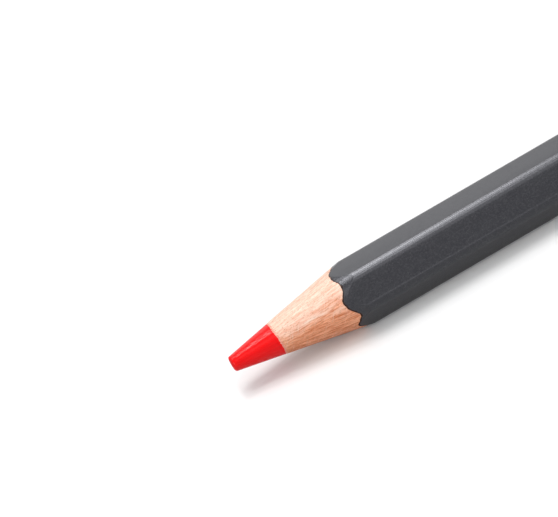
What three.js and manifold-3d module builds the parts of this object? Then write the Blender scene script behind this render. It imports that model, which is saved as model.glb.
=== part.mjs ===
// A hexagonal, wood-cased watercolour pencil, sharpened at one end and dipped in lacquer at the other.
// It lies along X on one of its facets: the tip points to -X and the dipped end to +X.
// Units are millimetres, +Z is up and z = 0 is the surface it lies on.

import * as THREE from "three";
import { mergeVertices } from "three/addons/utils/BufferGeometryUtils.js";
import Module from "manifold-3d";

const wasm = await Module();
wasm.setup();

// Barrel
const pencilLength = 175;
const acrossFlats = 7.1; // over the finished lacquer
const outerCornerRadius = 1.4; // long edges of the finished lacquer

// Layers under the outside, each thickness taken on the flats
const colourCoatThickness = 0.05;
const groundCoatThickness = 0.05;
const groundCornerRadius = 1.6;
const woodCornerRadius = 1.9;
const layerGap = 0.02; // hairline kept between any two layers that lie on each other

// Core and the glue that holds it
const coreDiameter = 3.8;
const coreGlueThickness = 0.06;
const seamGlueThickness = 0.06;

// Sharpened end
const coneHalfAngle = THREE.MathUtils.degToRad(10.8);
const tipDiameter = 1.74;
const tipEdgeRadius = 0.28;

// Dipped end, flush with the colour coat that it meets
const dipLength = 8;
const dipEndThickness = 0.4; // over the sawn end of the barrel
const dipEdgeRadius = 0.35;

// Facets that stand in for the round surfaces
const roundSegments = 72;
const cornerSegments = 8;
const tipEdgeSegments = 6;
const dipEdgeSegments = 5;

// Sizes that follow
const tipX = -pencilLength / 2;
const endX = pencilLength / 2;
const barrelEndX = endX - dipEndThickness - layerGap;
const dipX = endX - dipLength;
const axisHeight = acrossFlats / 2;
const groundApothem = acrossFlats / 2 - colourCoatThickness - layerGap;
const woodApothem = groundApothem - groundCoatThickness - layerGap;
const coreRadius = coreDiameter / 2;
const coreGlueInnerRadius = coreRadius + layerGap;
const coreGlueOuterRadius = coreGlueInnerRadius + coreGlueThickness;
const grooveRadius = coreGlueOuterRadius + layerGap;
const tipRadius = tipDiameter / 2;
const beyond = acrossFlats; // how far cutting bodies run past what they cut

// An outline's own x and y become Y and Z, and its depth runs along X
const outlineToBarrel = new THREE.Matrix4().makeBasis(
  new THREE.Vector3(0, 1, 0),
  new THREE.Vector3(0, 0, 1),
  new THREE.Vector3(1, 0, 0),
);

// A turned profile's radius spreads over Y and Z, and its height runs along X
const profileToBarrel = new THREE.Matrix4().makeBasis(
  new THREE.Vector3(0, 0, 1),
  new THREE.Vector3(1, 0, 0),
  new THREE.Vector3(0, 1, 0),
);

// Closed solid for cutting and joining, without the triangles that have no area
function toSolid(geometry) {
  geometry.deleteAttribute("normal");
  geometry.deleteAttribute("uv");
  const merged = mergeVertices(geometry);
  const corners = merged.index.array;
  const triangles = [];
  for (let i = 0; i < corners.length; i += 3) {
    const [a, b, c] = corners.slice(i, i + 3);
    if (a !== b && b !== c && c !== a) {
      triangles.push(a, b, c);
    }
  }
  return new wasm.Manifold(new wasm.Mesh({
    numProp: 3,
    vertProperties: merged.attributes.position.array,
    triVerts: new Uint32Array(triangles),
  }));
}

function toGeometry(solid) {
  const mesh = solid.getMesh();
  const geometry = new THREE.BufferGeometry();
  geometry.setAttribute("position", new THREE.BufferAttribute(mesh.vertProperties, 3));
  geometry.setIndex(new THREE.BufferAttribute(mesh.triVerts, 1));
  return geometry;
}

// Hexagon with flats at top and bottom, corners to the front and back, and every corner rounded
function hexagon(apothem, cornerRadius) {
  const outline = new THREE.Shape();
  const sixth = Math.PI / 3;
  const reach = (apothem - cornerRadius) / Math.cos(sixth / 2);
  for (let corner = 0; corner < 6; corner += 1) {
    const angle = corner * sixth;
    const y = reach * Math.cos(angle);
    const z = reach * Math.sin(angle);
    outline.absarc(y, z, cornerRadius, angle - sixth / 2, angle + sixth / 2, false);
  }
  return outline;
}

// Straight bar of one section. An edge radius rounds both of its ends
function bar(outline, startX, stopX, edgeRadius = 0) {
  const geometry = new THREE.ExtrudeGeometry(outline, {
    depth: stopX - startX - 2 * edgeRadius,
    curveSegments: cornerSegments / 2,
    bevelEnabled: edgeRadius > 0,
    bevelThickness: edgeRadius,
    bevelSize: edgeRadius,
    bevelOffset: -edgeRadius,
    bevelSegments: dipEdgeSegments,
  });
  geometry.applyMatrix4(outlineToBarrel);
  geometry.translate(startX + edgeRadius, 0, 0);
  return toSolid(geometry);
}

// Body turned about the axis from points of radius and place along the axis
function turned(points) {
  const profile = points.map(([radius, x]) => new THREE.Vector2(radius, x));
  const geometry = new THREE.LatheGeometry(profile, roundSegments);
  geometry.applyMatrix4(profileToBarrel);
  return toSolid(geometry);
}

function rod(radius, startX, stopX) {
  return turned([[0, startX], [radius, startX], [radius, stopX], [0, stopX]]);
}

function block(sizeY, sizeZ, centreY, centreZ) {
  const geometry = new THREE.BoxGeometry(pencilLength + 2 * beyond, sizeY, sizeZ);
  geometry.translate(0, centreY, centreZ);
  return toSolid(geometry);
}

// Place along the axis where the sharpened cone has the given radius
function coneX(radius) {
  return tipX + (radius - tipRadius) / Math.tan(coneHalfAngle);
}

// Everything that the sharpener leaves: a cone from the tip that opens until it clears the barrel
function sharpenedSpace() {
  const openRadius = acrossFlats;
  return turned([
    [0, tipX],
    [tipRadius, tipX],
    [openRadius, coneX(openRadius)],
    [openRadius, endX + beyond],
    [0, endX + beyond],
  ]);
}

const sharpened = sharpenedSpace();
const woodBlank = bar(hexagon(woodApothem, woodCornerRadius), tipX, barrelEndX);
const groove = rod(grooveRadius, tipX - beyond, endX + beyond);

// Pigment core, ending in the same cone with a blunt tip whose edge is worn round
function pigmentCore() {
  const edgeX = tipX + tipEdgeRadius;
  const edgeCentre = tipRadius + tipEdgeRadius * (Math.tan(coneHalfAngle) - 1 / Math.cos(coneHalfAngle));
  const sweep = Math.PI / 2 - coneHalfAngle;
  const points = [[0, tipX]];
  for (let step = 0; step <= tipEdgeSegments; step += 1) {
    const turn = (sweep * step) / tipEdgeSegments;
    points.push([edgeCentre + tipEdgeRadius * Math.sin(turn), edgeX - tipEdgeRadius * Math.cos(turn)]);
  }
  points.push([coreRadius, coneX(coreRadius)]);
  points.push([coreRadius, barrelEndX]);
  points.push([0, barrelEndX]);
  return turned(points);
}

// Sleeve of glue between the core and the two grooves
function coreGlue() {
  const bore = rod(coreGlueInnerRadius, tipX - beyond, endX + beyond);
  return rod(coreGlueOuterRadius, tipX, barrelEndX).subtract(bore).intersect(sharpened);
}

// Half of the casing, with half of the groove. Side is 1 for the upper slat and -1 for the lower
function slat(side) {
  const seamFace = seamGlueThickness / 2 + layerGap;
  const half = block(2 * acrossFlats, acrossFlats, 0, side * (seamFace + acrossFlats / 2));
  return woodBlank.intersect(half).subtract(groove).intersect(sharpened);
}

// Film of glue between the slats. Side is -1 for the front film and 1 for the back
function seamGlue(side) {
  const film = block(acrossFlats, seamGlueThickness, (side * acrossFlats) / 2, 0);
  return woodBlank.intersect(film).subtract(groove).intersect(sharpened);
}

// Barrel of one section from the tip, less the layer that it lies over, and cut by the cone
function coat(outline, innerOutline, stopX) {
  const inner = bar(innerOutline, tipX - beyond, endX + beyond);
  return bar(outline, tipX, stopX).subtract(inner).intersect(sharpened);
}

function groundCoat() {
  const onWood = hexagon(woodApothem + layerGap, woodCornerRadius + layerGap);
  return coat(hexagon(groundApothem, groundCornerRadius), onWood, barrelEndX);
}

const onGroundCoat = hexagon(groundApothem + layerGap, groundCornerRadius + layerGap);
const outside = hexagon(acrossFlats / 2, outerCornerRadius);

function colourCoat() {
  return coat(outside, onGroundCoat, dipX - layerGap);
}

// Cap of lacquer in the colour of the core. It covers the sawn end and has a rounded rim
function endDip() {
  const long = bar(outside, dipX - beyond, endX, dipEdgeRadius);
  const trim = rod(2 * acrossFlats, dipX - 2 * beyond, dipX);
  const bore = bar(onGroundCoat, dipX - 2 * beyond, endX - dipEndThickness);
  return long.subtract(trim).subtract(bore);
}

const redPigment = { color: 0xe5101f, roughness: 0.5, metalness: 0 };
const paleGlue = { color: 0xd8c79f, roughness: 0.6, metalness: 0 };
const cedar = { color: 0xe0a983, roughness: 0.75, metalness: 0 };
const brownGround = { color: 0x3a211a, roughness: 0.7, metalness: 0 };
const greyLacquer = { color: 0x3f4046, roughness: 0.4, metalness: 0 };
const redLacquer = { color: 0xb50d1a, roughness: 0.3, metalness: 0 };

const pencil = new THREE.Group();

function addPiece(name, solid, finish) {
  const mesh = new THREE.Mesh(toGeometry(solid), new THREE.MeshStandardMaterial(finish));
  mesh.name = name;
  mesh.position.z = axisHeight;
  pencil.add(mesh);
}

addPiece("pigment_core", pigmentCore(), redPigment);
addPiece("core_glue", coreGlue(), paleGlue);
addPiece("upper_slat", slat(1), cedar);
addPiece("lower_slat", slat(-1), cedar);
addPiece("front_seam_glue", seamGlue(-1), paleGlue);
addPiece("back_seam_glue", seamGlue(1), paleGlue);
addPiece("ground_coat", groundCoat(), brownGround);
addPiece("colour_coat", colourCoat(), greyLacquer);
addPiece("end_dip", endDip(), redLacquer);

export default pencil;
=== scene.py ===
import math

import bpy
import numpy as np
from mathutils import Matrix, Vector


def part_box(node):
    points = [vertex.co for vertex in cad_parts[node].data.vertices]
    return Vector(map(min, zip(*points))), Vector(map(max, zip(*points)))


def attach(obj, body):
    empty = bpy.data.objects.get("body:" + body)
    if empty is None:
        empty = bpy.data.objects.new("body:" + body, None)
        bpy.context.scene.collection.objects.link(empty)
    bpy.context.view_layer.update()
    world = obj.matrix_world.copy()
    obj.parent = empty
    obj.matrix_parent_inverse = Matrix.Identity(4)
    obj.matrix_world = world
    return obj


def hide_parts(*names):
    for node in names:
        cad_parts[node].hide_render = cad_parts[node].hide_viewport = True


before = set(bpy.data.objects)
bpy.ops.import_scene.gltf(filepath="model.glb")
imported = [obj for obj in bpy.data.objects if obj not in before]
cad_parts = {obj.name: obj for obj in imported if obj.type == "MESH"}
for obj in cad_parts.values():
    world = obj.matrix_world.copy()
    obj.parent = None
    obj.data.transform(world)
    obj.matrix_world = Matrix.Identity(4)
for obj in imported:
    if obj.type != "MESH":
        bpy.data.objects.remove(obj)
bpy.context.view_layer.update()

# A sharpened watercolour pencil lying on one facet along X, its tip at -X.
# Angles round the pencil are counted from +Y over +Z, so the facet that faces the camera is at
# 150 degrees and the camera itself at 147.

mm = 0.001
coreLow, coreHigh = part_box("pigment_core")
coatLow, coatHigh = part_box("colour_coat")
dipLow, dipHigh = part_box("end_dip")
filmLow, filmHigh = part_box("front_seam_glue")

tipX = coreLow.x
barrelEndX = coreHigh.x
dipX = dipLow.x
endX = dipHigh.x
axisHeight = (coatLow.z + coatHigh.z) / 2
flatReach = (coatHigh.z - coatLow.z) / 2        # axis to a facet of the lacquer
cornerReach = (coatHigh.y - coatLow.y) / 2      # axis to a rounded corner of the lacquer
coreRadius = (coreHigh.z - coreLow.z) / 2
seamHalf = (filmHigh.z - filmLow.z) / 2
facingAngle = math.radians(147)

cone = {
    "halfAngle": math.radians(10.8),
    "tipRadius": 0.87 * mm,
    "offCentre": 0.022 * mm,         # the sharpener cut a little to one side of the axis
    "offCentreTo": math.radians(57),
}
slope = math.tan(cone["halfAngle"])
print("frame read: pencil of", round((endX - tipX) / mm, 1), "mm")


# Shapes as formulas of the angle round the pencil and the place along it

def coneShift(angle):
    # What the offset adds to the cone's radius, offCentre * cos(angle - offCentreTo)
    return cone["offCentre"] * np.cos(angle - cone["offCentreTo"])


def coneX(radius, angle):        # place along the axis where the sharpener's cone has this radius
    return tipX + (radius - cone["tipRadius"] - coneShift(angle)) / slope


def coneRadius(x, angle):        # the same the other way round
    return cone["tipRadius"] + slope * (x - tipX) + coneShift(angle)


def ripple(angle, along, waves, drift, seed):
    # Sum of one sine per wave number round the pencil, each with its own phase and its own drift
    # along it, divided by the square root of their count so that it stays near +-1
    draw = np.random.default_rng(seed)
    total = 0
    for wave in waves:
        phase, slide = draw.uniform(0, 2 * math.pi), draw.uniform(-drift, drift)
        total = total + np.sin(wave * angle + phase + slide * along / mm)
    return total / math.sqrt(len(waves))


def unevenness(angle, along, layers):
    # Sum of ripples, each times its depth. A layer is its depth, its wave numbers round the pencil,
    # its drift in radians per millimetre and its seed
    total = 0
    for depth, waves, drift, seed in layers:
        total = total + depth * ripple(angle, along, waves, drift, seed)
    return total


def smoothStep(low, high, value):        # 0 below low, 1 above high, 3t^2 - 2t^3 between them
    t = np.clip((value - low) / (high - low), 0, 1)
    return t * t * (3 - 2 * t)


def softMinimum(a, b, width):        # the smaller of the two, rounded off within width
    h = np.clip(0.5 + 0.5 * (b - a) / width, 0, 1)
    return b * (1 - h) + a * h - width * h * (1 - h)


def rowsBetween(start, stop, count):        # a column of shares from start to stop
    return np.linspace(start, stop, count)[:, None]


def roundAngles(count):        # a row of equal steps round the pencil
    return np.arange(count)[None, :] * 2 * math.pi / count


outline = {
    "crown": math.radians(2.5),        # how far a facet's normal turns from its middle to its edge
    "steps": 7200,
}


def makeOutline():
    # Outline of the lacquer from its radius of curvature at each normal angle n, which is the
    # corner's radius plus a share of 1 + cos(180 n / crown) within the crown of a facet's normal.
    # The points are the integral of that radius times (-sin n, cos n), and the two radii make it
    # reach the CAD's facets and corners
    crown = outline["crown"]
    normal = np.linspace(0, 2 * math.pi, outline["steps"] + 1)
    sixth = math.pi / 3
    fromFacet = (normal + math.pi / 2 + sixth / 2) % sixth - sixth / 2
    bump = np.where(np.abs(fromFacet) < crown, 1 + np.cos(math.pi * fromFacet / crown), 0)
    step = (bump[1:] + bump[:-1]) / 2 * (normal[1] - normal[0])
    middle = (normal[1:] + normal[:-1]) / 2
    y = np.concatenate([[0], np.cumsum(-np.sin(middle) * step)])
    z = np.concatenate([[0], np.cumsum(np.cos(middle) * step)])
    y, z = y - y[:-1].mean(), z - z[:-1].mean()
    flatShare = np.interp(math.pi / 2, normal, z)
    cornerShare = np.interp(0, normal, y)
    flats = (cornerReach - flatReach) / (cornerShare - flatShare)
    corner = flatReach - flats * flatShare
    y, z = flats * y + corner * np.cos(normal), flats * z + corner * np.sin(normal)
    return normal, np.unwrap(np.arctan2(z, y)), np.hypot(y, z)


outlineNormal, outlineAngle, outlineReach = makeOutline()


def outerRadius(angle):        # radius of the lacquer's outline at each angle
    return np.interp(angle % (2 * math.pi), outlineAngle, outlineReach)


def barrelAngles(perFacet, perCorner):        # angles that crowd together where the outline bends
    sixth, crown = math.pi / 3, outline["crown"]
    facet = np.linspace(-crown, crown, perFacet, endpoint=False)
    bend = np.linspace(crown, sixth - crown, perCorner, endpoint=False)
    facetNormals = (np.arange(6) * sixth + sixth / 2)[:, None]
    normal = np.concatenate([facet, bend])[None, :] + facetNormals
    return np.interp(normal.ravel() % (2 * math.pi), outlineNormal, outlineAngle)[None, :]


# Where one layer ends and the next begins on the cone, as a radius for each angle

edges = {
    "coreSpread": 0.025 * mm,        # how far the pigment is smeared past its own radius
    "coreUneven": ((0.006 * mm, (2, 3, 5, 8), 0, 11), (0.004 * mm, range(17, 60, 6), 0, 12)),
    "stainWidth": 0.035 * mm,        # stained glue round the core
    "stainUneven": ((0.008 * mm, range(9, 70, 7), 0, 13),),
    "groundWidth": 0.024 * mm,       # ground coat between the wood and the colour coat
    "groundLean": 0.4,               # share that it gains on the underside of the front
    "groundLeanTo": facingAngle + 1.1,        # the side that gains it, in radians
    "groundUneven": ((0.3, range(8, 60, 7), 0, 23),),
    "groundShares": (0.3, 1.6),      # its thinnest and its thickest, as shares of its width
    "leastCoat": 0.010 * mm,         # thinnest that the colour coat gets
    # The wood's reach at its tongues and at the cusps between them, by degrees from the camera
    "woodAt": (-90, -70, -48, -29, -21, 4, 15, 40, 54, 90, 122, 153, 185, 216, 242, 270),
    "woodReach": (
        3.72, 3.61, 3.49, 3.55, 3.56, 3.41, 3.435, 3.615,
        3.55, 3.70, 3.49, 3.66, 3.47, 3.66, 3.50, 3.72,
    ),
    "woodUneven": ((0.005 * mm, (11, 14, 17, 21), 0, 21), (0.003 * mm, range(27, 90, 9), 0, 22)),
}


def coreEdge(angle):        # the core's radius, the smear and the unevenness
    return coreRadius + edges["coreSpread"] + unevenness(angle, 0, edges["coreUneven"])


def stainEdge(angle):        # the core's edge, the width of the stain and its unevenness
    return coreEdge(angle) + edges["stainWidth"] + unevenness(angle, 0, edges["stainUneven"])


def woodEdge(angle):
    # From each tongue to the next cusp the reach goes as 3t^2 - 2t^3, with a fine unevenness on
    # top, and it always leaves room for the two coats
    degrees = (np.degrees(angle - facingAngle) + 90) % 360 - 90
    reach = np.array(edges["woodReach"]) * mm
    count = np.interp(degrees, edges["woodAt"], np.arange(len(reach)))
    before = np.minimum(count.astype(int), len(reach) - 2)
    t = count - before
    plain = reach[before] + (reach[before + 1] - reach[before]) * t * t * (3 - 2 * t)
    coats = edges["groundShares"][1] * edges["groundWidth"] + edges["leastCoat"]
    return np.minimum(plain + unevenness(angle, 0, edges["woodUneven"]), outerRadius(angle) - coats)


def groundEdge(angle):
    # The wood's edge plus a width that leans to one side with the cosine, finely uneven
    lean = edges["groundLean"] * np.cos(angle - edges["groundLeanTo"])
    share = 1 + lean + unevenness(angle, 0, edges["groundUneven"])
    return woodEdge(angle) + edges["groundWidth"] * np.clip(share, *edges["groundShares"])


# Meshes from grids of points

smoothUpTo = math.radians(35)        # edges that turn more than this stay sharp


def buildPiece(name, x, radius, angle, closeRows=False, closeColumns=True, poles=False):
    # Each row of the grid is a place on the profile and each column an angle. Closed rows join the
    # profile's end to its start, poles close both ends with a fan, and open columns get flat ends
    x, radius, angle = np.broadcast_arrays(x, radius, angle)
    rows, columns = x.shape
    points = np.stack([x, radius * np.cos(angle), axisHeight + radius * np.sin(angle)], axis=-1)
    points = points.reshape(-1, 3)
    index = np.arange(rows * columns).reshape(rows, columns)
    across = np.roll(index, -1, axis=1) if closeColumns else index[:, 1:]
    here = index if closeColumns else index[:, :-1]
    if closeRows:
        a, b, c, d = here, across, np.roll(across, -1, axis=0), np.roll(here, -1, axis=0)
    else:
        a, b, c, d = here[:-1], across[:-1], across[1:], here[1:]
    faces = np.stack([a, b, c, d], axis=-1).reshape(-1, 4).tolist()
    if poles:
        startPole, stopPole = np.full(columns, len(points)), np.full(columns, len(points) + 1)
        ends = [[x[0].mean(), 0, axisHeight], [x[-1].mean(), 0, axisHeight]]
        points = np.concatenate([points, ends])
        start, stop = index[0], index[-1]
        faces += np.stack([start, startPole, np.roll(start, -1)], axis=-1).tolist()
        faces += np.stack([stop, np.roll(stop, -1), stopPole], axis=-1).tolist()
    if not closeColumns:
        faces += [index[:, 0].tolist(), index[::-1, -1].tolist()]
    mesh = bpy.data.meshes.new(name)
    mesh.from_pydata(points.tolist(), [], faces)
    mesh.update()
    if signedVolume(mesh) < 0:
        mesh.flip_normals()
    mesh.polygons.foreach_set("use_smooth", np.ones(len(mesh.polygons), bool))
    mesh.set_sharp_from_angle(angle=smoothUpTo)
    piece = bpy.data.objects.new(name, mesh)
    bpy.context.scene.collection.objects.link(piece)
    return piece


def signedVolume(mesh):
    # Sum of a . (b x c) / 6 over the triangles, positive when they face outwards
    mesh.calc_loop_triangles()
    corners = np.empty(len(mesh.loop_triangles) * 3, np.int32)
    mesh.loop_triangles.foreach_get("vertices", corners)
    places = np.empty(len(mesh.vertices) * 3)
    mesh.vertices.foreach_get("co", places)
    a, b, c = places.reshape(-1, 3)[corners.reshape(-1, 3)].transpose(1, 0, 2)
    return float(np.einsum("ij,ij->i", a, np.cross(b, c)).sum() / 6)


def dress(piece, node, finish):
    piece.data.materials.append(finish)
    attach(piece, "root")
    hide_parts(node)


# Nodes of the finishes: every pattern reads the place on the pencil, in millimetres from its axis

def startFinish(name):        # the material, its node tree and its shader
    finish = bpy.data.materials.new(name)
    finish.use_nodes = True
    return finish, finish.node_tree, finish.node_tree.nodes["Principled BSDF"]


def addNode(tree, kind, **settings):
    node = tree.nodes.new(kind)
    for key, value in settings.items():
        setattr(node, key, value)
    return node


def placeInMillimetres(tree, stretch=(1, 1, 1)):
    # Place from the axis, each coordinate times its share of the stretch
    where = addNode(tree, "ShaderNodeTexCoord")
    scaled = addNode(tree, "ShaderNodeMapping")
    scaled.inputs["Scale"].default_value = [value / mm for value in stretch]
    scaled.inputs["Location"].default_value = (0, 0, -axisHeight * stretch[2] / mm)
    tree.links.new(where.outputs["Object"], scaled.inputs["Vector"])
    return scaled.outputs["Vector"]


def vectorMath(tree, operation, first, second):
    node = addNode(tree, "ShaderNodeVectorMath", operation=operation)
    for value, socket in ((first, node.inputs[0]), (second, node.inputs[1])):
        if isinstance(value, tuple):
            socket.default_value = value
        else:
            tree.links.new(value, socket)
    return node.outputs[0]


def directionFromAxis(tree, along, around):
    # Place along the pencil times one number, and the unit vector out from the axis times another,
    # so that a pattern runs along the lines of the cone
    place = placeInMillimetres(tree)
    unit = addNode(tree, "ShaderNodeVectorMath", operation="NORMALIZE")
    tree.links.new(vectorMath(tree, "MULTIPLY", place, (0, 1, 1)), unit.inputs[0])
    wide = vectorMath(tree, "MULTIPLY", unit.outputs[0], (around, around, around))
    return vectorMath(tree, "ADD", vectorMath(tree, "MULTIPLY", place, (along, 0, 0)), wide)


def axisValue(tree, vector, axis):
    node = addNode(tree, "ShaderNodeSeparateXYZ")
    tree.links.new(vector, node.inputs["Vector"])
    return node.outputs[axis]


def addNoise(tree, vector, scale=1.0, detail=3, roughness=0.5):
    noise = addNode(tree, "ShaderNodeTexNoise")
    noise.inputs["Scale"].default_value = scale
    noise.inputs["Detail"].default_value = detail
    noise.inputs["Roughness"].default_value = roughness
    tree.links.new(vector, noise.inputs["Vector"])
    return noise.outputs["Fac"]


def spread(tree, source, low, high, toLow=0.0, toHigh=1.0):
    # A straight line from toLow at low to toHigh at high, and level outside them
    node = addNode(tree, "ShaderNodeMapRange")
    node.inputs["From Min"].default_value = low
    node.inputs["From Max"].default_value = high
    node.inputs["To Min"].default_value = toLow
    node.inputs["To Max"].default_value = toHigh
    tree.links.new(source, node.inputs["Value"])
    return node.outputs["Result"]


def blendColours(tree, factor, first, second):
    node = addNode(tree, "ShaderNodeMix", data_type="RGBA")
    tree.links.new(factor, node.inputs["Factor"])
    for value, socket in ((first, node.inputs[6]), (second, node.inputs[7])):
        if isinstance(value, tuple):
            socket.default_value = (*value, 1)
        else:
            tree.links.new(value, socket)
    return node.outputs[2]


def blendNumbers(tree, first, second, operation):
    node = addNode(tree, "ShaderNodeMath", operation=operation)
    tree.links.new(first, node.inputs[0])
    tree.links.new(second, node.inputs[1])
    return node.outputs[0]


def addBump(tree, shader, height, depth, strength=1.0):
    bump = addNode(tree, "ShaderNodeBump")
    bump.inputs["Distance"].default_value = depth
    bump.inputs["Strength"].default_value = strength
    tree.links.new(height, bump.inputs["Height"])
    tree.links.new(bump.outputs["Normal"], shader.inputs["Normal"])


# Finishes. A noise is given by its scale, detail and roughness, and a range by the two noise values
# between which a mix runs, with the two values that it runs between where they aren't 0 and 1

pigmentLook = {
    "streakLines": (0.25, 14),       # along the pencil and round it
    "streakNoise": (1.0, 4, 0.6),
    "streakRange": (0.35, 0.7),
    "streakColours": ((0.86, 0.000, 0.001), (1.00, 0.001, 0.002)),
    "cloudNoise": (1.6,),
    "cloudRange": (0.35, 0.75, 0, 0.5),
    "cloudColour": (0.93, 0.004, 0.008),
    "roughnessRange": (0.3, 0.7, 0.10, 0.16),
    "wornRoughness": 0.7,            # of the blunt end
    "wornTo": (0.06, 0.22),          # where that fades out, in millimetres from the tip
    "specular": 0.17,
    "sheen": 0.05,
    "sheenRoughness": 0.4,
    "sheenTint": (1, 0.75, 0.75, 1),
    "bump": (0.006 * mm, 0.8),
}


def pigmentFinish():
    # Red with streaks along the cone and clouds over them, satin but for the worn end
    look = pigmentLook
    finish, tree, shader = startFinish("pigment")
    streaks = addNoise(tree, directionFromAxis(tree, *look["streakLines"]), *look["streakNoise"])
    clouds = addNoise(tree, placeInMillimetres(tree), *look["cloudNoise"])
    red = blendColours(tree, spread(tree, streaks, *look["streakRange"]), *look["streakColours"])
    cloudy = spread(tree, clouds, *look["cloudRange"])
    mottled = blendColours(tree, cloudy, red, look["cloudColour"])
    tree.links.new(mottled, shader.inputs["Base Color"])
    start, stop = (tipX / mm + distance for distance in look["wornTo"])
    place = axisValue(tree, placeInMillimetres(tree), "X")
    worn = spread(tree, place, start, stop, look["wornRoughness"], 0)
    satin = spread(tree, streaks, *look["roughnessRange"])
    tree.links.new(blendNumbers(tree, worn, satin, "MAXIMUM"), shader.inputs["Roughness"])
    shader.inputs["Specular IOR Level"].default_value = look["specular"]
    shader.inputs["Sheen Weight"].default_value = look["sheen"]
    shader.inputs["Sheen Roughness"].default_value = look["sheenRoughness"]
    shader.inputs["Sheen Tint"].default_value = look["sheenTint"]
    addBump(tree, shader, streaks, *look["bump"])
    return finish


woodLook = {
    "fibreLines": (0.5, 15),         # along the pencil and round it
    "fibreNoise": (1.0, 5, 0.7),
    "bandStretch": (0.10, 1.8, 1.8),
    "bandRange": (0.3, 0.7, -0.35, 0.35),
    "poreStretch": (1.6, 11.0, 11.0),
    "poreNoise": (1.0, 3, 0.6),
    "scratchTurn": math.radians(36),
    "scratchStretch": (11.0, 0.7, 0.7),
    "scratchNoise": (1.0, 2),
    # The pale pair is a painted highlight for the upper side and the dark pair is painted shade for
    # the underside; the fibres mix each pair
    "litFibreRange": (0.38, 0.60),
    "paintedLitColours": ((0.95, 0.51, 0.365), (1.0, 0.76, 0.625)),
    "shadeFibreRange": (0.40, 0.58),
    "paintedShadeColours": ((0.63, 0.17, 0.06), (1.0, 0.47, 0.28)),
    "shadeToLitRange": (0.12, 0.80),     # height round the pencil over which the painted shade below turns into the painted highlight on top
    "poreRange": (0.54, 0.64, 0, 0.55),
    "poreColour": (0.50, 0.19, 0.09),
    "scratchRange": (0.60, 0.72, 0, 0.45),
    "scratchColour": (1.0, 0.78, 0.64),
    "roughness": 0.5,
    "specular": 0.25,
    "bump": (0.02 * mm, 0.8),
}


def woodFinish():
    # Fibres along the cone, painted shade below and a painted highlight on top, with bands that
    # shift the border; then dark pores and pale scratches, which run across the side that faces the
    # camera
    look = woodLook
    finish, tree, shader = startFinish("casingWood")
    fibres = addNoise(tree, directionFromAxis(tree, *look["fibreLines"]), *look["fibreNoise"])
    bands = addNoise(tree, placeInMillimetres(tree, look["bandStretch"]))
    pores = addNoise(tree, placeInMillimetres(tree, look["poreStretch"]), *look["poreNoise"])
    turned = addNode(tree, "ShaderNodeVectorRotate", rotation_type="AXIS_ANGLE")
    turned.inputs["Axis"].default_value = (0, math.cos(facingAngle), math.sin(facingAngle))
    turned.inputs["Angle"].default_value = look["scratchTurn"]
    tree.links.new(placeInMillimetres(tree), turned.inputs["Vector"])
    stretched = vectorMath(tree, "MULTIPLY", turned.outputs[0], look["scratchStretch"])
    scratches = addNoise(tree, stretched, *look["scratchNoise"])
    # Painted light and shade: pale where the wood faces up and dark where it faces down, with the
    # bands shifting the border
    height = axisValue(tree, directionFromAxis(tree, 0, 1), "Z")
    shadeLevel = blendNumbers(tree, height, spread(tree, bands, *look["bandRange"]), "ADD")
    paintedLit = blendColours(tree, spread(tree, fibres, *look["litFibreRange"]), *look["paintedLitColours"])
    paintedShade = blendColours(tree, spread(tree, fibres, *look["shadeFibreRange"]), *look["paintedShadeColours"])
    paintedShading = blendColours(tree, spread(tree, shadeLevel, *look["shadeToLitRange"]), paintedShade, paintedLit)
    poreShare = spread(tree, pores, *look["poreRange"])
    pored = blendColours(tree, poreShare, paintedShading, look["poreColour"])
    scratchShare = spread(tree, scratches, *look["scratchRange"])
    scratched = blendColours(tree, scratchShare, pored, look["scratchColour"])
    tree.links.new(scratched, shader.inputs["Base Color"])
    shader.inputs["Roughness"].default_value = look["roughness"]
    shader.inputs["Specular IOR Level"].default_value = look["specular"]
    addBump(tree, shader, blendNumbers(tree, fibres, pores, "SUBTRACT"), *look["bump"])
    return finish


glueLook = {
    "lines": (0.8, 20),              # along the pencil and round it
    "noise": (1.0,),
    "range": (0.35, 0.65),
    "colours": ((0.80, 0.22, 0.17), (0.88, 0.47, 0.34)),
    "roughness": 0.6,
    "bump": (0.01 * mm,),
}

seamLook = {
    "stretch": (0.4, 8.0, 8.0),
    "noise": (1.0,),
    "range": (0.35, 0.65),
    "colours": ((0.70, 0.30, 0.16), (0.90, 0.44, 0.27)),
    "roughness": 0.65,
    "bump": (0.01 * mm,),
}

groundLook = {
    "stretch": (1, 1, 1),
    "noise": (9.0,),
    "range": (0.4, 0.65),
    "colours": ((0.012, 0.005, 0.004), (0.055, 0.020, 0.012)),
    "roughness": 0.6,
    "specular": 0.1,
    "bump": (0.01 * mm,),
}


def twoToneFinish(name, look):        # one noise that mixes two colours and also gives the bump
    finish, tree, shader = startFinish(name)
    if "lines" in look:
        place = directionFromAxis(tree, *look["lines"])
    else:
        place = placeInMillimetres(tree, look["stretch"])
    noise = addNoise(tree, place, *look["noise"])
    colour = blendColours(tree, spread(tree, noise, *look["range"]), *look["colours"])
    tree.links.new(colour, shader.inputs["Base Color"])
    shader.inputs["Roughness"].default_value = look["roughness"]
    if "specular" in look:
        shader.inputs["Specular IOR Level"].default_value = look["specular"]
    addBump(tree, shader, noise, *look["bump"])
    return finish


barrelLook = {
    "cloudStretch": (0.5, 1, 1),
    "cloudNoise": (1.3, 4, 0.6),
    "cloudRange": (0.3, 0.7),
    "cloudColours": ((0.000, 0.0002, 0.003), (0.006, 0.0062, 0.009)),
    "grainStretch": (4, 5, 5),
    "grainNoise": (1.0, 3, 0.6),
    "grainRange": (0.44, 0.70),
    "grainColour": (0.024, 0.0243, 0.028),
    "roughnessRange": (0.3, 0.7, 0.20, 0.23),
    "specular": 0.57,
    "specularTint": (0.93, 0.935, 1, 1),
    "bump": (0.002 * mm, 0.5),
}


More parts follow.
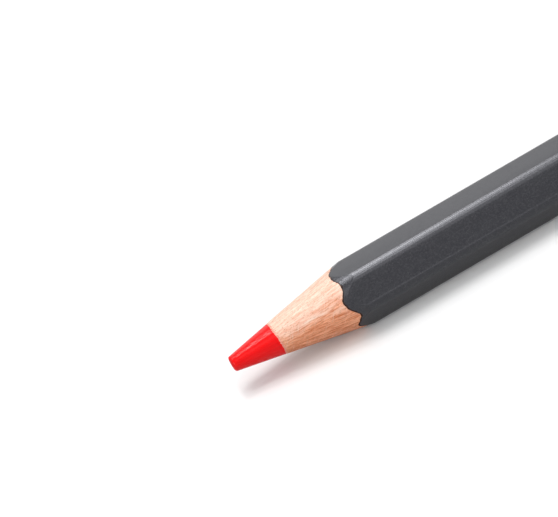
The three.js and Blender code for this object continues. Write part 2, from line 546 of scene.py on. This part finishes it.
def barrelFinish():
    # Near black with clouds and a pale grain. The grey is what it mirrors
    look = barrelLook
    finish, tree, shader = startFinish("barrelLacquer")
    clouds = addNoise(tree, placeInMillimetres(tree, look["cloudStretch"]), *look["cloudNoise"])
    grain = addNoise(tree, placeInMillimetres(tree, look["grainStretch"]), *look["grainNoise"])
    grey = blendColours(tree, spread(tree, clouds, *look["cloudRange"]), *look["cloudColours"])
    grainy = spread(tree, grain, *look["grainRange"])
    grained = blendColours(tree, grainy, grey, look["grainColour"])
    tree.links.new(grained, shader.inputs["Base Color"])
    tree.links.new(spread(tree, clouds, *look["roughnessRange"]), shader.inputs["Roughness"])
    shader.inputs["Specular IOR Level"].default_value = look["specular"]
    shader.inputs["Specular Tint"].default_value = look["specularTint"]
    addBump(tree, shader, clouds, *look["bump"])
    return finish


dipLook = {
    "cloudNoise": (0.9,),
    "cloudRange": (0.3, 0.7),
    "cloudColours": ((0.58, 0.002, 0.008), (0.68, 0.006, 0.014)),
    "roughnessRange": (0.3, 0.7, 0.2, 0.27),
    "bump": (0.01 * mm, 0.5),
}


def dipFinish():
    look = dipLook
    finish, tree, shader = startFinish("endLacquer")
    clouds = addNoise(tree, placeInMillimetres(tree), *look["cloudNoise"])
    red = blendColours(tree, spread(tree, clouds, *look["cloudRange"]), *look["cloudColours"])
    tree.links.new(red, shader.inputs["Base Color"])
    tree.links.new(spread(tree, clouds, *look["roughnessRange"]), shader.inputs["Roughness"])
    addBump(tree, shader, clouds, *look["bump"])
    return finish


# Pigment core: flat worn tip, rounded edge, straight cone, then the rod inside the casing

core = {
    "columns": 300,
    "faceRows": 8,
    "faceStart": 0.1,                # radius of the first ring round the pole, as a share
    "edgeRows": 10,
    "coneRows": 90,
    "edgeRadius": 0.28 * mm,
    "edgeUneven": 0.05 * mm,         # the edge is worn more on the underside
    "tipDome": 0.05 * mm,
    "streaks": ((0.0022 * mm, range(19, 90, 7), 0.35, 31), (0.00154 * mm, (5, 7, 11), 0.6, 32)),
    "streakFade": (0.06, 0.04),      # shares of the cone over which the streaks start and end
    # Rows along the rod and in over its rear end, as shares of its length and radius
    "rodRows": ((0.3, 1), (0.7, 1), (1, 1), (1, 0.4)),
}


def makeCore():
    # Profile along the cone: a low dome r = t * start, a circular arc from the end face to the
    # cone's line, then radius = coneRadius(x) plus shallow streaks along the cone, then the rod
    angle = roundAngles(core["columns"])
    edge = core["edgeRadius"] + core["edgeUneven"] * np.cos(angle - facingAngle - math.pi / 2)
    edgeLine = edge * (slope - 1 / math.cos(cone["halfAngle"]))
    centre = cone["tipRadius"] + coneShift(angle) + edgeLine
    face = np.linspace(core["faceStart"], 1, core["faceRows"], endpoint=False)[:, None]
    faceRadius = face * centre
    faceX = tipX + core["tipDome"] * face**2 + 0 * angle
    turn = rowsBetween(0, math.pi / 2 - cone["halfAngle"], core["edgeRows"])
    arcRadius = centre + edge * np.sin(turn)
    arcX = tipX + core["tipDome"] * np.cos(turn) ** 2 + edge * (1 - np.cos(turn))
    startX, stopX = arcX[-1:], coneX(coreEdge(angle), angle)
    t = rowsBetween(0, 1, core["coneRows"])[1:]
    x = startX + (stopX - startX) * t
    fadeIn, fadeOut = core["streakFade"]
    fade = smoothStep(0, fadeIn, t) * smoothStep(0, fadeOut, 1 - t)
    radius = coneRadius(x, angle) + fade * unevenness(angle, x - tipX, core["streaks"])
    rod = np.array(core["rodRows"])
    rodX = stopX + (barrelEndX - stopX) * rod[:, :1]
    rodRadius = coreEdge(angle) * rod[:, 1:]
    allX = np.concatenate([faceX, arcX, x, rodX])
    allRadius = np.concatenate([faceRadius, arcRadius, radius, rodRadius])
    piece = buildPiece("pigmentCore", allX, allRadius, angle, poles=True)
    dress(piece, "pigment_core", pigmentFinish())


# Sleeves round the pencil, each with its front end cut by the cone

sleeves = {
    "columns": 360,
    "cutRows": 5,
    "alongRows": 4,
    "sink": 0.05 * mm,        # how far the hidden part lies inside the edge that the cut shows
}


def makeSleeve(name, innerEdge, outerEdge):
    # Closed profile: out along the cone from the inner to the outer edge, back along the outside,
    # in at the rear and forward along the inside, every radius behind the cone less by the sink
    angle = roundAngles(sleeves["columns"])
    inner, outer = innerEdge(angle), outerEdge(angle)
    cutRadius = inner + (outer - inner) * rowsBetween(0, 1, sleeves["cutRows"])
    back = rowsBetween(0, 1, sleeves["alongRows"])[1:]
    outerX = coneX(outer, angle) + (barrelEndX - coneX(outer, angle)) * back
    innerX = barrelEndX + (coneX(inner, angle) - barrelEndX) * back[:-1]
    rearX = np.full_like(inner, barrelEndX)
    allX = np.concatenate([coneX(cutRadius, angle), outerX, rearX, innerX])
    sunk, sunkOuter = inner - sleeves["sink"], outer - sleeves["sink"]
    allRadius = np.concatenate([cutRadius, sunkOuter + 0 * outerX, sunk, sunk + 0 * innerX])
    return buildPiece(name, allX, allRadius, angle, closeRows=True)


# Slats: half of the casing each, cut to the cone at the front, and the two films between them

slats = {
    "columns": 220,
    "coneRows": 110,
    "grainDepth": 0.006 * mm,
    "grainFade": 0.03,               # share of the cut over which the grain starts and ends
    "fineGrain": (range(14, 120, 9), 0.9),        # wave numbers and drift
    "broadGrain": ((4, 6, 9), 1.4),
    "backRows": (0.02, 0.3, 1.0),    # shares of the way back under the lacquer
}

seams = {
    "coneRows": 40,
    "firstStep": 1 * mm,             # from the cut to the first row under the lacquer
}


def makeSlat(name, node, side, seed, finish):
    # Closed profile: out along the cone from the stained glue to the edge of the lacquer, back
    # under the lacquer, in across the sawn end, and forward along the groove. The first and last
    # columns lie in the seam
    t = np.linspace(0, 1, slats["columns"])[None, :]
    rough = side * t * math.pi
    inner, outer = stainEdge(rough), woodEdge(rough)
    f = rowsBetween(0, 1, slats["coneRows"])
    coneRow = inner + (outer - inner) * f
    x = coneX(coneRow, rough)
    fade = smoothStep(0, slats["grainFade"], f) * smoothStep(0, slats["grainFade"], 1 - f)
    depth = slats["grainDepth"]
    layers = (depth, *slats["fineGrain"], seed), (depth, *slats["broadGrain"], seed + 1)
    coneRow = coneRow + fade * unevenness(rough, x - tipX, layers)
    back = np.array(slats["backRows"])[:, None]
    outerX = coneX(outer, rough) + (barrelEndX - coneX(outer, rough)) * back
    middleX = (coneX(inner, rough) + barrelEndX) / 2
    innerX = np.concatenate([np.full_like(inner, barrelEndX), middleX])
    allX = np.concatenate([x, outerX, innerX])
    sunk = outer - sleeves["sink"]
    allRadius = np.concatenate([coneRow, sunk + 0 * outerX, inner + 0 * innerX])
    seam = np.arcsin(seamHalf / allRadius)
    angle = side * (seam + t * (math.pi - 2 * seam))
    piece = buildPiece(name, allX, allRadius, angle, closeRows=True, closeColumns=False)
    dress(piece, node, finish)


def makeSeam(name, node, where, finish):
    # A film as thick as the CAD's, with the slats' profile and no grain, on both sides of the angle
    inner, outer = stainEdge(where), woodEdge(where)
    coneRow = inner + (outer - inner) * rowsBetween(0, 1, seams["coneRows"])
    sunk = outer - sleeves["sink"]
    startX = coneX(outer, where) + seams["firstStep"]
    behindX = np.array([startX, barrelEndX, barrelEndX])[:, None]
    behindRadius = np.array([sunk, sunk, inner])[:, None]
    allX = np.concatenate([coneX(coneRow, where), behindX])
    allRadius = np.concatenate([coneRow, behindRadius])
    angle = where + np.array([[-1, 0, 1]]) * np.arcsin(seamHalf / allRadius)
    piece = buildPiece(name, allX, allRadius, angle, closeRows=True, closeColumns=False)
    dress(piece, node, finish)


# Colour coat: the outside of the barrel

barrel = {
    "perFacet": 30,
    "perCorner": 34,
    "cutRows": 16,
    "cutLeast": 0.3,                 # least share of the cut that is left of the rounding
    "edgeRows": 14,
    "edgeSpan": 0.03 * mm,           # difference in radius over which the rows crowd at the cut
    "edgeRounding": 0.018 * mm,      # rounding where the cut meets the barrel
    "alongRows": 90,
    "alongPower": 1.5,               # crowds the rows behind the cut
    "unevenDepth": 0.004 * mm,       # brushed and flowed lacquer is never quite flat
    "unevenLimit": 1.2,
    "unevenStart": 2 * mm,           # how far behind the cut it has its full depth
    "uneven": ((1, (5, 7, 10), 0.25, 41), (0.7, (2, 3, 4), 0.7, 42)),
    "lap": 0.6 * mm,                 # how far the coat runs in under the dipped end
    "tuck": 0.03 * mm,               # how far it is sunk there
    "tuckRange": (-3 * mm, -0.8 * mm),        # where it sinks, from the coat's end
}


def makeBarrel():
    # Radius = soft minimum of the cone and the barrel, for x from the ground coat's edge to the
    # dipped end. The barrel is the outline less a faint unevenness, and less the tuck at the dip
    angle = barrelAngles(barrel["perFacet"], barrel["perCorner"])
    inner, outside = groundEdge(angle), outerRadius(angle)
    startX, meetX = coneX(inner, angle), coneX(outside, angle)
    stopX = dipX + barrel["lap"]
    reach = barrel["edgeSpan"] / slope
    cut = np.linspace(0, 1, barrel["cutRows"], endpoint=False)[:, None]
    edge = np.linspace(0, 1, barrel["edgeRows"], endpoint=False)[:, None]
    along = rowsBetween(0, 1, barrel["alongRows"]) ** barrel["alongPower"]
    nearX = np.maximum(meetX - reach, startX + barrel["cutLeast"] * (meetX - startX))
    farX = meetX + reach
    x = np.concatenate([
        startX + (nearX - startX) * cut,
        nearX + (farX - nearX) * edge,
        farX + (stopX - farX) * along,
    ])
    limit = barrel["unevenLimit"]
    uneven = limit - np.clip(unevenness(angle, x - tipX, barrel["uneven"]), -limit, limit)
    started = smoothStep(0, barrel["unevenStart"], x - meetX)
    flat = outside - barrel["unevenDepth"] * started * uneven
    flat -= barrel["tuck"] * smoothStep(*barrel["tuckRange"], x - stopX)
    radius = softMinimum(coneRadius(x, angle), flat, barrel["edgeRounding"])
    radius[0] = inner
    backX = stopX + (startX - stopX) * np.array([[0.0], [0.5]])
    allX = np.concatenate([x, backX])
    allRadius = np.concatenate([radius, inner + 0 * backX])
    piece = buildPiece("colourCoat", allX, allRadius, angle, closeRows=True)
    dress(piece, "colour_coat", barrelFinish())


# Dipped end: a thin cap over the barrel with a wavy front edge and a rounded, slightly domed end

dip = {
    "perFacet": 22,
    "perCorner": 28,
    "boreStart": 0.3,                # radius of the first ring round the bore's pole, as a share
    "boreRows": (0.0, 0.4, 1.0),     # shares of the bore's length
    "lip": 0.02 * mm,
    "lipLength": 0.25 * mm,
    "lipRows": 9,
    "rimWaves": ((0.10 * mm, (1, 2, 3, 5, 7), 0, 51),),
    "thinning": 0.4,                 # share of the lip by which the cap is lower behind it
    "thinningLength": 2 * mm,
    "edgeRadius": 0.5 * mm,
    "dome": 0.10 * mm,
    "sideRows": 20,
    "arcRows": 12,
    "endRows": 14,
    "endStop": 0.06,                 # radius of the last ring, as a share
}


def makeDip():
    # Profile from the bore's closed end forward to the wavy rim, over a rounded lip, back along the
    # outside, round a quarter circle, and in over a low dome whose height falls with the square of
    # the radius
    angle = barrelAngles(dip["perFacet"], dip["perCorner"])
    outside = outerRadius(angle)
    bore = outside - dip["lip"]
    rimX = dipX + unevenness(angle, 0, dip["rimWaves"])
    boreX = barrelEndX + (rimX - barrelEndX) * np.array(dip["boreRows"])[:, None]
    lipT = rowsBetween(0, 1, dip["lipRows"])[1:]
    lipX = rimX + dip["lipLength"] * lipT
    lipRadius = bore + dip["lip"] * np.sqrt(np.clip(1 - (1 - lipT) ** 2, 0, 1))
    turnX = endX - dip["dome"] - dip["edgeRadius"]
    sideX = lipX[-1:] + (turnX - lipX[-1:]) * rowsBetween(0, 1, dip["sideRows"])[1:]
    thinner = dip["thinning"] * smoothStep(0, dip["thinningLength"], sideX - dipX)
    sideRadius = outside - dip["lip"] * thinner
    turn = rowsBetween(0, math.pi / 2, dip["arcRows"])[1:]
    arcX = turnX + dip["edgeRadius"] * np.sin(turn) + 0 * angle
    arcRadius = sideRadius[-1:] - dip["edgeRadius"] * (1 - np.cos(turn))
    inT = rowsBetween(1, dip["endStop"], dip["endRows"])[1:]
    inRadius = arcRadius[-1:] * inT
    inX = endX - dip["dome"] * inT**2 + 0 * angle
    allX = np.concatenate([np.full_like(bore, barrelEndX), boreX, lipX, sideX, arcX, inX])
    boreRadii = [dip["boreStart"] * bore, bore + 0 * boreX]
    allRadius = np.concatenate([*boreRadii, lipRadius, sideRadius, arcRadius, inRadius])
    piece = buildPiece("endDip", allX, allRadius, angle, poles=True)
    dress(piece, "end_dip", dipFinish())


makeCore()
print("pigment core made")

stained = makeSleeve("coreGlue", coreEdge, stainEdge)
dress(stained, "core_glue", twoToneFinish("stainedGlue", glueLook))
wood = woodFinish()
makeSlat("upperSlat", "upper_slat", 1, 61, wood)
makeSlat("lowerSlat", "lower_slat", -1, 71, wood)
seam = twoToneFinish("seamGlue", seamLook)
makeSeam("frontSeamGlue", "front_seam_glue", math.pi, seam)
makeSeam("backSeamGlue", "back_seam_glue", 0.0, seam)
print("casing made")

ground = makeSleeve("groundCoat", woodEdge, groundEdge)
dress(ground, "ground_coat", twoToneFinish("groundLacquer", groundLook))
makeBarrel()
makeDip()
print("lacquer made")


# Floor, light and camera

studio = {
    "floorSize": 30.0,
    "floorForCamera": 0.97,
    "floorForObject": 0.36,
    "ambient": 0.09,
}

lamps = {        # strength, where the light comes from, and how wide it is in degrees
    "topBackLamp": (0.38, (0.14, 0.54, 0.83), 14),
    "topLamp": (0.70, (0.14, 0.27, 0.95), 14),
    "topFrontLamp": (0.47, (0.14, -0.02, 0.99), 14),
    "upperFrontLamp": (0.22, (0.14, -0.32, 0.94), 14),
    "frontLamp": (0.58, (0.12, -0.57, 0.81), 46),
    "backLamp": (0.28, (0.05, 0.84, 0.54), 34),
    "cuspLamp": (0.15, (-0.03, 0.12, 0.99), 14),
    "cornerLamp": (0.05, (0.15, -0.97, 0.20), 14),
    "fillLamp": (1.60, (-0.70, -0.66, 0.26), 50),
}

coneRow = {        # narrow lamps over the tip, by their degrees round the pencil, for the cone
    "strengths": {60: 0.08, 73: 0.11, 86: 0.19, 94: 0.11},
    "towardsTip": -0.187,
    "width": 6,
}


def seenDirectly(tree):
    # 1 for camera, glossy and transmission rays, which all show the pale background, 0 for the rest
    rays = addNode(tree, "ShaderNodeLightPath").outputs
    two = blendNumbers(tree, rays["Is Camera Ray"], rays["Is Glossy Ray"], "MAXIMUM")
    return blendNumbers(tree, two, rays["Is Transmission Ray"], "MAXIMUM")


def makeFloor():
    half = studio["floorSize"] / 2
    corners = [(-half, -half, 0), (half, -half, 0), (half, half, 0), (-half, half, 0)]
    mesh = bpy.data.meshes.new("floor")
    mesh.from_pydata(corners, [], [(0, 1, 2, 3)])
    floor = bpy.data.objects.new("floor", mesh)
    bpy.context.scene.collection.objects.link(floor)
    finish = bpy.data.materials.new("paleFloor")
    finish.use_nodes = True
    tree = finish.node_tree
    tree.nodes.clear()
    matt = addNode(tree, "ShaderNodeBsdfDiffuse")
    unseen, seen = (studio["floorForObject"],) * 3, (studio["floorForCamera"],) * 3
    tree.links.new(blendColours(tree, seenDirectly(tree), unseen, seen), matt.inputs["Color"])
    output = addNode(tree, "ShaderNodeOutputMaterial")
    tree.links.new(matt.outputs["BSDF"], output.inputs["Surface"])
    mesh.materials.append(finish)


def makeWorld():
    world = bpy.data.worlds.new("studio")
    bpy.context.scene.world = world
    world.use_nodes = True
    tree = world.node_tree
    tree.nodes.clear()
    mix = addNode(tree, "ShaderNodeMixShader")
    tree.links.new(seenDirectly(tree), mix.inputs["Fac"])
    for socket, strength in ((mix.inputs[1], studio["ambient"]), (mix.inputs[2], 1)):
        background = addNode(tree, "ShaderNodeBackground")
        background.inputs["Color"].default_value = (1, 1, 1, 1)
        background.inputs["Strength"].default_value = strength
        tree.links.new(background.outputs["Background"], socket)
    output = addNode(tree, "ShaderNodeOutputWorld")
    tree.links.new(mix.outputs["Shader"], output.inputs["Surface"])


def makeLamp(name, strength, comesFrom, width):
    lamp = bpy.data.lights.new(name, "SUN")
    lamp.energy = strength
    lamp.angle = math.radians(width)
    holder = bpy.data.objects.new(name, lamp)
    holder.rotation_mode = "QUATERNION"
    holder.rotation_quaternion = Vector(comesFrom).to_track_quat("Z", "Y")
    bpy.context.scene.collection.objects.link(holder)


makeFloor()
makeWorld()
for lampName, (strength, comesFrom, width) in lamps.items():
    makeLamp(lampName, strength, comesFrom, width)
for degrees, strength in coneRow["strengths"].items():
    turn = math.radians(degrees)
    comesFrom = (coneRow["towardsTip"], math.cos(turn), math.sin(turn))
    makeLamp("coneLamp" + str(degrees), strength, comesFrom, coneRow["width"])
print("studio made")

view = {
    "imageWidth": 558,
    "imageHeight": 517,
    "pixelsPerMillimetre": 9.21,
    "axisPixel": (376.0, 280.9),          # where a point of the pencil's axis is seen
    "axisFromTip": 18.26 * mm,            # how far that point is from the tip
    "rise": math.radians(30.01),          # slope of the pencil in the picture
    "elevation": math.radians(33),        # how far the camera looks down on the facet's side
    "towardsTip": math.radians(8.5),      # how far the camera stands round towards the tip
    "lens": 200.0,
    "sensor": 36.0,
    "clip": (0.01, 100),
}


def makeCamera():
    # The camera's right and up lines are worked out so that the axis rises at the given slope
    side = Vector((0, -math.cos(view["elevation"]), math.sin(view["elevation"])))
    away = Vector((1, 0, 0)) * math.sin(view["towardsTip"])
    back = side * math.cos(view["towardsTip"]) - away
    axis = (Vector((1, 0, 0)) - back * back.x).normalized()
    above = back.cross(axis)
    right = axis * math.cos(view["rise"]) - above * math.sin(view["rise"])
    up = axis * math.sin(view["rise"]) + above * math.cos(view["rise"])
    pixel = mm / view["pixelsPerMillimetre"]
    seen = Vector((tipX + view["axisFromTip"], 0, axisHeight))
    target = seen - right * (view["axisPixel"][0] - view["imageWidth"] / 2) * pixel
    target += up * (view["axisPixel"][1] - view["imageHeight"] / 2) * pixel
    distance = view["imageWidth"] * pixel * view["lens"] / view["sensor"]
    camera = bpy.data.cameras.new("camera")
    camera.lens, camera.sensor_width = view["lens"], view["sensor"]
    camera.clip_start, camera.clip_end = view["clip"]
    holder = bpy.data.objects.new("camera", camera)
    turned = Matrix((right, up, back)).transposed().to_4x4()
    holder.matrix_world = Matrix.Translation(target + back * distance) @ turned
    bpy.context.scene.collection.objects.link(holder)
    bpy.context.scene.camera = holder


makeCamera()
bpy.context.scene.view_settings.view_transform = "Standard"
print("camera made")
